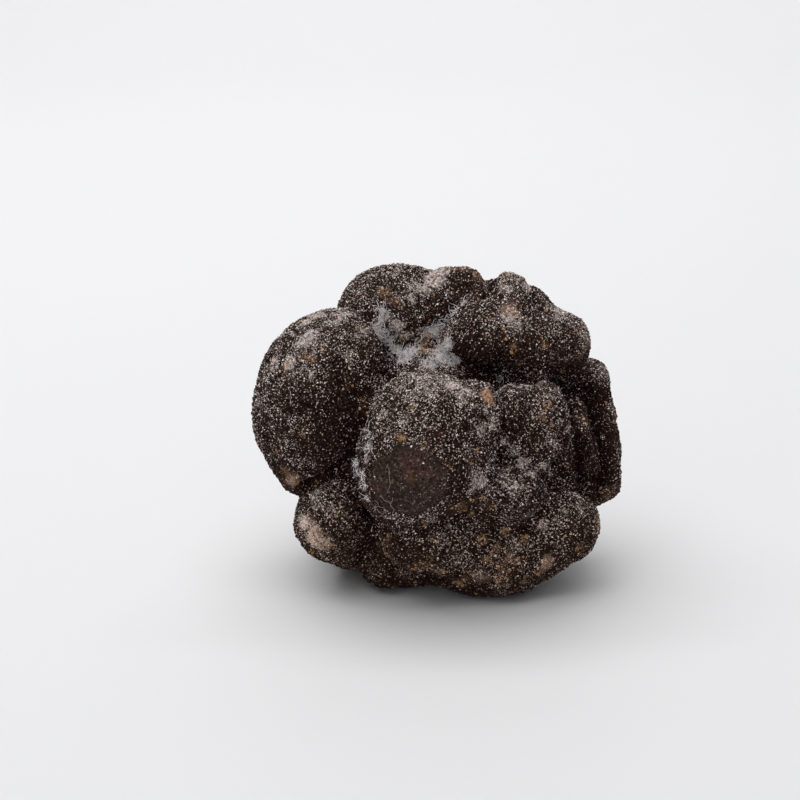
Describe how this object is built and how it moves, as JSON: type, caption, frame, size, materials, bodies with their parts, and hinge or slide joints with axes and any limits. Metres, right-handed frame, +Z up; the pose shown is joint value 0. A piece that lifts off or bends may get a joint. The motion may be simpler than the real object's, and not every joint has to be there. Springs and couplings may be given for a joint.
{
  "type": "black truffle",
  "caption": "Whole black truffle: a knobbly solid fungus body of rounded lobes with deep creases and a fine warty rind, resting on small flat spots.",
  "frame": {"origin": "on the surface that the truffle rests on, under the middle of its bounding box", "axes": "+Z up; X across the widest side; -Y out of the side with the bald patch"},
  "size_m": [0.061, 0.0534, 0.0515],
  "materials": {
    "rind": "matte"
  },
  "bodies": {
    "root": {"truffle": "rind"}
  },
  "joints": []
}
